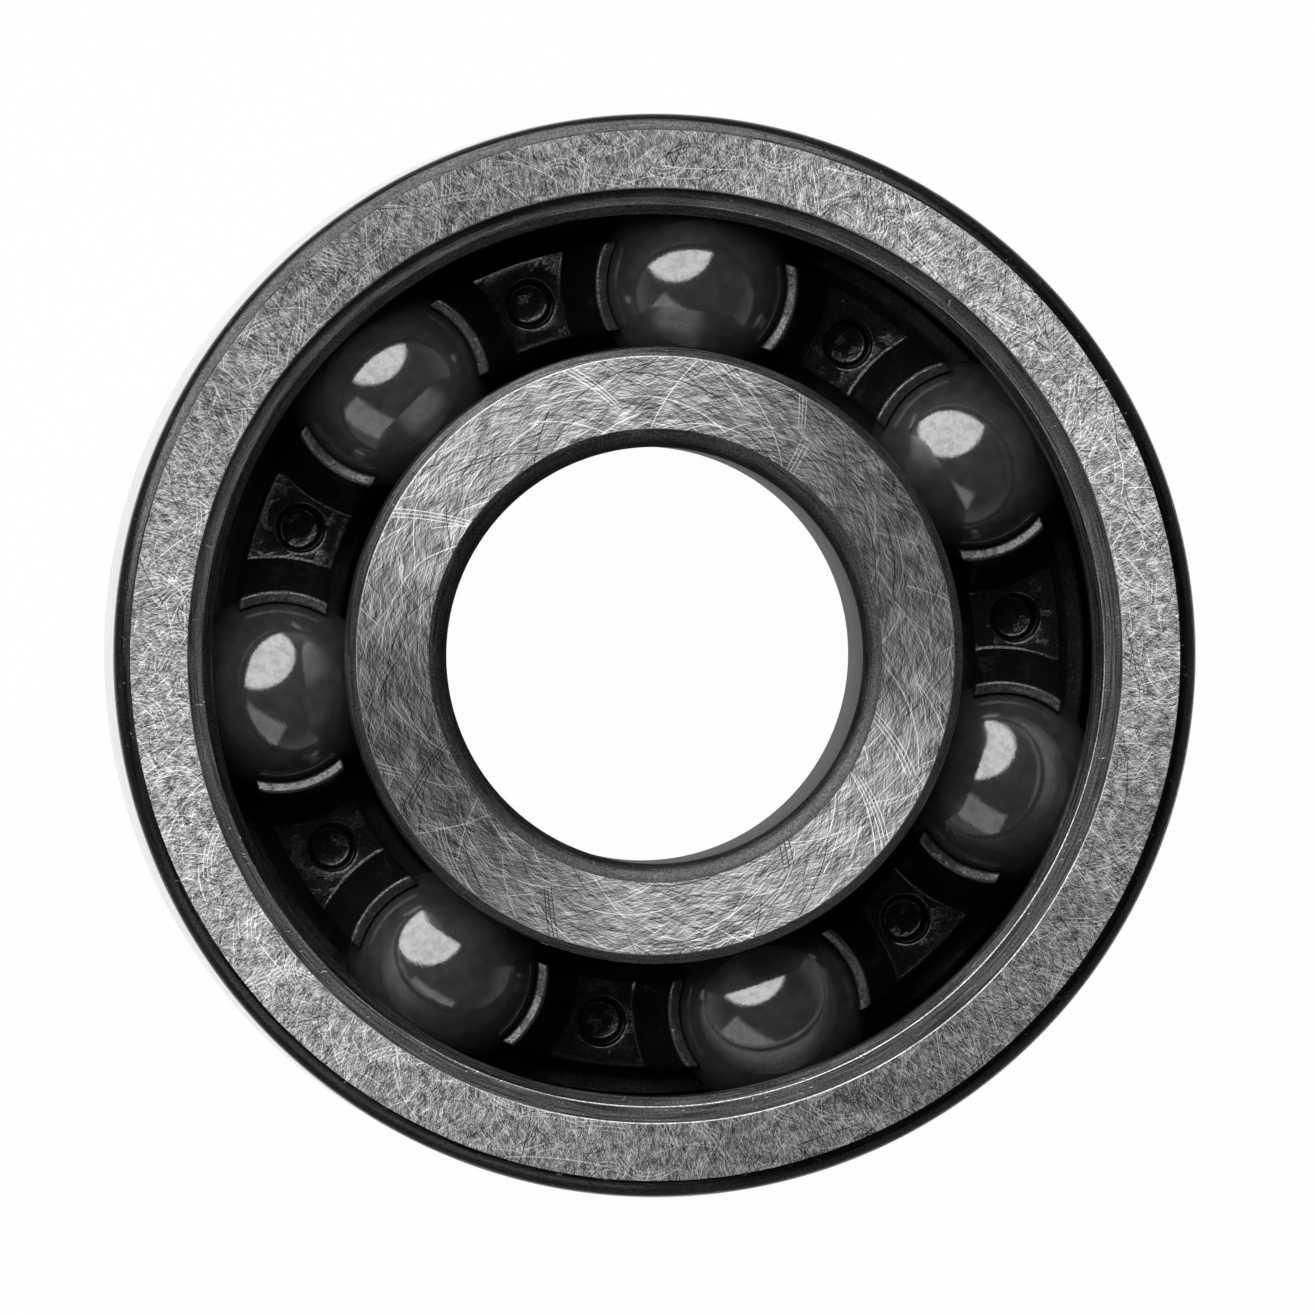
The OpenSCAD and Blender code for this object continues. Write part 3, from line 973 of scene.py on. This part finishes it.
def cageWall(look, r, angle, height):
    # The inner or the outer wall, filled on the unrolled wall: x = r times angle, y = z.
    backZ, last = look["backZ"] + look["backRound"], 2 * halfStep
    over = np.stack([angle, height], axis=-1)
    over = np.concatenate([over, (over[:-1] * [-1, 1] + [last, 0])[::-1]])
    points = look["backSteps"] + 1
    base = np.stack([np.linspace(last, 0, points), np.full(points, backZ)], axis=-1)
    side = np.linspace(height[0], backZ, look["wallSteps"] + 1)[1:-1]
    right = np.stack([np.full(len(side), last), side], axis=-1)
    left = np.stack([np.zeros(len(side)), side[::-1]], axis=-1)
    loop = np.concatenate([over, right, base, left]) * [r, 1]
    columns, rows = look["wallGrid"]
    low, high = look["wallMargins"]
    gridX = np.linspace(0, last * r, columns + 2)[1:-1]
    gridX, gridZ = np.meshgrid(gridX, np.linspace(look["backZ"] + low, look["tipZ"] - high, rows))
    flat, triangles = filled([loop], np.stack([gridX.ravel(), gridZ.ravel()], axis=-1))
    return cagePart(flat[:, 0] / r, r, flat[:, 1], triangles)


def cageBack(look):
    # The back: quarter rounds at both walls, and a flat ring between them.
    backZ, backRound = look["backZ"], look["backRound"]
    inner = look["innerR"] + backRound * (1 - np.cos(quarter))
    outer = look["outerR"] - backRound * (1 - np.cos(quarter[::-1]))
    rounding = backZ + backRound * (1 - np.sin(quarter))
    between = np.linspace(inner[-1], outer[0], look["backRows"] + 2)[1:-1]
    r = np.concatenate([inner, between, outer])[:, None]
    z = np.concatenate([rounding, [backZ] * len(between), rounding[::-1]])[:, None]
    turns = np.linspace(0, 2 * halfStep, look["backSteps"] + 1)
    return cagePart(turns, r, z, gridFaces(len(r), len(turns)))


def makeCage(look):
    # All parts once for each ball, joined along their seams: (r cos a, r sin a, z), a = angle + the ball's.
    r, inset = cageRows(look)
    angle, height, tips = hornSection(look, r, inset)
    parts = cageWeb(look, r, angle, height, tips)
    parts += [cageValley(look, r, angle), cageHole(look)]
    parts += [cageWall(look, r[row], angle[row], height[row]) for row in (0, -1)]
    parts.append(cageBack(look))
    faces, points, finish, total = [], [], [], 0
    for centre in ballCentres.values():
        for place, corners, numbers in parts:
            a = place[:, 0] + math.atan2(centre[1], centre[0])
            points.append(np.stack([place[:, 1] * np.cos(a), place[:, 1] * np.sin(a), place[:, 2]], axis=-1))
            faces += (corners + total).tolist()
            finish.append(numbers)
            total += len(place)
    plain = mouldedPlastic("cagePlastic", *look["plastic"])
    tip = mouldedPlastic("lighterTips", *look["tipPlastic"])
    cage = makePiece("snapCage", np.concatenate(points), faces, [plain, tip], np.concatenate(finish))
    closeSeams(cage)
    even = cage.modifiers.new("evenNormals", "WEIGHTED_NORMAL")
    even.weight = look["normalWeight"]
    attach(cage, "cage")
    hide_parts("cage")


makeCage(cageLook)
print("cage made")

sealLook = {
    "lipPlay": 0.002,
    "lipThick": 0.24,
    "lipEnd": 0.75,  # where the lip meets the web, out from the shoulder
    "recess": 0.28,
    "webInZ": 3.15,
    "stepIn": 9.99,
    "stepOut": 10.29,
    "ledgeZ": 2.95,
    "rootR": 11.45,
    "beadZ": 3.55,
    "beadTopR": 11.08,
    "plate": (8.25, 10.9, 3.32, 3.52, 10.7, 3.1),  # both radii, z of both sides, hook's radius and end
    "grooves": (8.75, 10.45),  # shallow moulded grooves on the outside
    "grooveTop": 0.14,  # half their width at the surface and at the bottom, and their depth
    "grooveBottom": 0.09,
    "grooveDepth": 0.06,
    "edge": 0.025,
    "edgeSteps": 3,
    "steps": 256,
    "rubber": ((0.02, 0.02, 0.021), 0.62, 0.5, (0.3, 0.6)),  # colour, roughness, grain and sheen
}


def makeSeal(look):
    # Section of the rubber, from the lip along the outside to the bead and back along the web, with the
    # plate's section as a hole in it.
    lipR = shoulderR + look["lipPlay"]
    outZ, rootR, ledgeZ, webZ = halfWidth - look["recess"], look["rootR"], look["ledgeZ"], look["webInZ"]
    top, bottom, bottomZ = look["grooveTop"], look["grooveBottom"], -outZ + look["grooveDepth"]
    outline = [(lipR, -webZ), (lipR, -webZ - look["lipThick"]), (shoulderR + look["lipEnd"], -outZ)]
    for middle in look["grooves"]:
        outline += [(middle - top, -outZ), (middle - bottom, bottomZ)]
        outline += [(middle + bottom, bottomZ), (middle + top, -outZ)]
    outline += [(look["beadTopR"], -outZ), (rootR, -look["beadZ"]), (rootR, -ledgeZ)]
    outline += [(look["stepOut"], -ledgeZ), (look["stepIn"], -webZ)]
    inR, outR, frontZ, rearZ, hookR, hookZ = look["plate"]
    cavity = [(inR, -rearZ), (inR, -frontZ), (hookR, -frontZ)]
    cavity += [(hookR, -hookZ), (outR, -hookZ), (outR, -rearZ)]
    loops = [
        sectionLoop([(x, z, look["edge"], "rubber", "rubber") for x, z in outline], look["edgeSteps"]),
        sectionLoop([(x, z, 0, "rubber", "rubber") for x, z in cavity], 1),
    ]
    rubber = mouldedPlastic("sealRubber", *look["rubber"])
    seal = turnPiece("rubberSeal", loops, {"rubber": rubber}, look["steps"])
    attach(seal, "outer")
    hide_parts("rear_seal")


makeSeal(sealLook)
plateLook = ((0.4, 0.4, 0.41), 0.35, 0.4)  # colour, roughness and line depth
plateFinishes = frame["nodes"]["rear_seal_plate"].data.materials
plateFinishes.clear()
plateFinishes.append(turnedSteel("plateSteel", *plateLook))
print("seal made")
